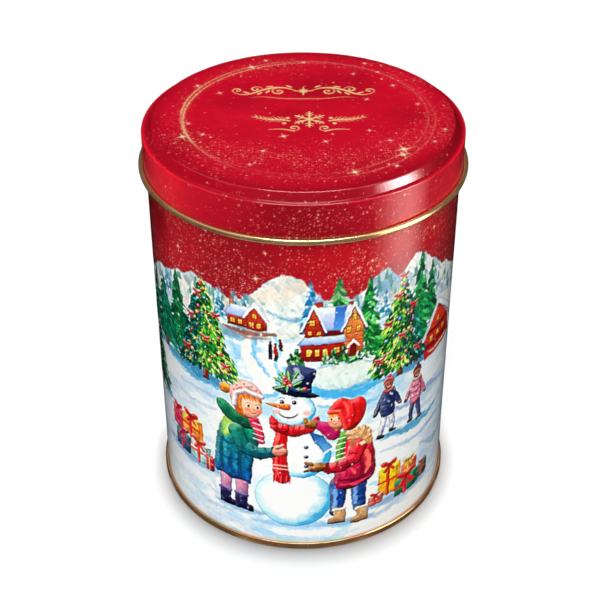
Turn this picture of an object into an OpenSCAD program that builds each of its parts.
// Round slip-lid cookie tin: a rolled printed body, a seamed-on bottom end and a lift-off lid.
// Origin at the centre of the foot, +Z up, the picture on the wall faces -Y. Millimetres.
// Every sheet part is one centreline path, thickened by half the sheet on both sides.

/* [Body] */
// Outside diameter of the body wall
body_d = 133.6; // [100:0.1:180]
// Height of the body, from the foot to the top of the mouth curl
body_h = 181.7; // [80:0.1:240]
// Thickness of the body and bottom sheet
body_t = 0.28; // [0.2:0.01:0.4]
// Diameter of the mouth curl's tube
mouth_curl_d = 2.2; // [1.6:0.1:3]

/* [Lid] */
// Outside diameter of the lid at its shoulder
lid_d = 135.2; // [101:0.1:182]
// Thickness of the lid sheet
lid_t = 0.25; // [0.2:0.01:0.4]
// Air between the mouth curl and the underside of the lid's ledge
lid_seat_gap = 0.2; // [0.1:0.05:0.5]
// Height that the lid's middle panel stands above its ledge
panel_rise = 3.25; // [1:0.05:6]
// Diameter of the raised panel's flat top
panel_d = 126.4; // [60:0.1:160]
// Run of the slope from the panel down to the ledge
panel_slope_run = 2.4; // [0.5:0.1:4]
// Drop from the lid's ledge to the middle of its hem
skirt_h = 15.7; // [8:0.1:40]
// Draft of the skirt: how much its radius grows down to the hem
skirt_draft = 0.2; // [0:0.05:0.5]
// Diameter of the hem's tube
hem_d = 2.4; // [1.6:0.1:3]

/* [Bottom] */
// Outside diameter of the double seam round the foot
seam_d = 136.6; // [102:0.1:184]
// Height of the double seam
seam_h = 3.4; // [2.6:0.1:5]
// Depth of the bottom's recess, from the foot to the panel
recess_h = 3.7; // [2.5:0.1:6]
// Step of the round stiffening bead in the bottom panel
bead_h = 0.7; // [0.3:0.1:1.5]

/* [Side seam] */
// Width of the lap where the body sheet is welded to itself, at the back
lap_w = 5; // [3:0.5:8]
// How far the outer ply of the lap stands off the wall
lap_t = 0.14; // [0.1:0.01:0.3]

/* [Hidden] */
$fn = 128;
arc_step = 10;               // degrees between points on a bend
body_r = body_d / 2;
lid_r = lid_d / 2;
seam_r = seam_d / 2;

// Heights of the lid's sheet, on its centreline
ledge_z = body_h + lid_seat_gap + lid_t / 2;
panel_z = ledge_z + panel_rise;
hem_z = ledge_z - skirt_h;
hem_r = hem_d / 2;
hem_cx = lid_r + skirt_draft - lid_t + hem_r;   // the curl starts on the skirt's inner face

// Mouth curl: the wall's outer face rolls inward
curl_r = mouth_curl_d / 2;
curl_cx = body_r - curl_r;
curl_z = body_h - curl_r;

// Double seam: five plies with even gaps between the wall and the rim
wall_x = body_r - body_t / 2;
rim_x = seam_r - body_t / 2;
ply_pitch = (rim_x - wall_x) / 3;
cover_hook_x = wall_x + ply_pitch;
body_hook_x = wall_x + 2 * ply_pitch;
bend_r = ply_pitch;
chuck_x = body_r - 1.5 * body_t - 0.04;         // the end's wall stands just inside the body
foot_z = body_t / 2;
body_hook_z = foot_z + body_t + 0.1;            // underside of the body's hook, on its centreline
body_hook_top = seam_h - body_t - 0.42;
cover_hook_end = body_hook_z + 0.73;
end_panel_z = recess_h + body_t / 2;

// ---- Sheet bent along a path of [radius, height, bend radius] ----
function unit(v) = v / norm(v);
function left_of(v) = [-v[1], v[0]];
function at(p) = [p[0], p[1]];
function dir(path, i) = unit(at(path[i + 1]) - at(path[i]));
function turn_sign(a, b) = a[0] * b[1] - a[1] * b[0] > 0 ? 1 : -1;

// The corner of an offset path, or its end
function mitre(path, i, off) =
    i == 0 ? at(path[0]) + off * left_of(dir(path, 0)) :
    i == len(path) - 1 ? at(path[i]) + off * left_of(dir(path, i - 1)) :
    let (a = left_of(dir(path, i - 1)), b = left_of(dir(path, i)))
    at(path[i]) + off * (a + b) / (1 + a * b);

// Points of one bend: an arc that is tangent to the sheet before and after it
function bend(path, i, off) =
    let (a = dir(path, i - 1), b = dir(path, i), s = turn_sign(a, b), r = path[i][2] - s * off,
         sweep = acos(a * b), start = mitre(path, i, off) - a * r * tan(sweep / 2),
         centre = start + s * r * left_of(a), n = ceil(sweep / arc_step), v = start - centre)
    [for (k = [0:n]) let (w = s * sweep * k / n)
        centre + [v[0] * cos(w) - v[1] * sin(w), v[0] * sin(w) + v[1] * cos(w)]];

function side(path, off) = [
    for (i = [0:len(path) - 1])
        for (p = (i == 0 || i == len(path) - 1) ? [mitre(path, i, off)] : bend(path, i, off)) p];
function reversed(v) = [for (i = [len(v) - 1:-1:0]) v[i]];

module spun_sheet(path, t) {
    rotate_extrude()
        polygon(concat(side(path, t / 2), reversed(side(path, -t / 2))));
}

// A curl: a tube of sheet, open at one side, from one angle to another about its centre
module spun_curl(cx, cz, r, t, from, to) {
    n = ceil(abs(to - from) / arc_step);
    angles = [for (k = [0:n]) from + (to - from) * k / n];
    outer = [for (a = angles) [cx + r * cos(a), cz + r * sin(a)]];
    inner = [for (a = angles) [cx + (r - t) * cos(a), cz + (r - t) * sin(a)]];
    rotate_extrude()
        polygon(concat(outer, reversed(inner)));
}

// ---- Lid ----
// One drawn sheet: raised panel, slope, narrow ledge, rounded shoulder and skirt
module lid_shell() {
    panel_r = panel_d / 2;
    slope_foot = panel_r + panel_slope_run;
    color("crimson")
        spun_sheet([[0, panel_z], [panel_r, panel_z, 0.9], [slope_foot, ledge_z, 0.55],
                    [lid_r - lid_t / 2, ledge_z, 0.75],
                    [lid_r + skirt_draft - lid_t / 2, hem_z]], lid_t);
}

// The skirt's lower edge, rolled outward so that the sheet's gold inner face shows
module lid_hem() {
    color("goldenrod") spun_curl(hem_cx, hem_z, hem_r, lid_t, 180, 490);
}

// ---- Body ----
// The rolled wall, with the hook at its foot that the bottom end holds
module body_wall() {
    color("firebrick")
        spun_sheet([[wall_x, curl_z], [wall_x, body_hook_z, bend_r], [body_hook_x, body_hook_z, bend_r],
                    [body_hook_x, body_hook_top]], body_t);
}

// The wall's top edge, rolled inward into a safe mouth
module mouth_curl() {
    color("goldenrod") spun_curl(curl_cx, curl_z, curl_r, body_t, 0, 300);
}

// The outer ply of the welded lap down the back
module side_seam() {
    lap_angle = 2 * asin(lap_w / 2 / body_r);
    lap_foot = seam_h + 0.3;
    color("silver")
        rotate([0, 0, 90 - lap_angle / 2])
            rotate_extrude(angle = lap_angle)
                translate([body_r, lap_foot])
                    square([lap_t, curl_z - lap_foot]);
}

// ---- Bottom ----
// Recessed panel with one stiffening bead, and the wall that runs down inside the body
module bottom_end() {
    bead_x = chuck_x * 0.76;
    color("goldenrod")
        spun_sheet([[0, end_panel_z + bead_h], [bead_x, end_panel_z + bead_h, 1],
                    [bead_x + 1.4, end_panel_z, 1], [chuck_x, end_panel_z, 0.5],
                    [chuck_x, foot_z + bend_r]], body_t);
}

// The same sheet's rim: under the foot, up outside, over, and down as the cover hook
module bottom_rim() {
    top_z = seam_h - body_t / 2;
    color("goldenrod")
        spun_sheet([[chuck_x, foot_z + bend_r], [chuck_x, foot_z, bend_r - 0.01], [rim_x, foot_z, bend_r],
                    [rim_x, top_z, bend_r - 0.01], [cover_hook_x, top_z, bend_r - 0.01],
                    [cover_hook_x, cover_hook_end]], body_t);
}

// The lining compound that seals the plies: it fills the gap outside the body's hook
module seam_compound() {
    inner_x = body_hook_x + body_t / 2;
    outer_x = rim_x - body_t / 2;
    color("gray")
        rotate_extrude()
            translate([inner_x, body_hook_z + bend_r])
                square([outer_x - inner_x, body_hook_top - body_hook_z - bend_r]);
}

lid_shell();
lid_hem();
body_wall();
mouth_curl();
side_seam();
bottom_end();
bottom_rim();
seam_compound();
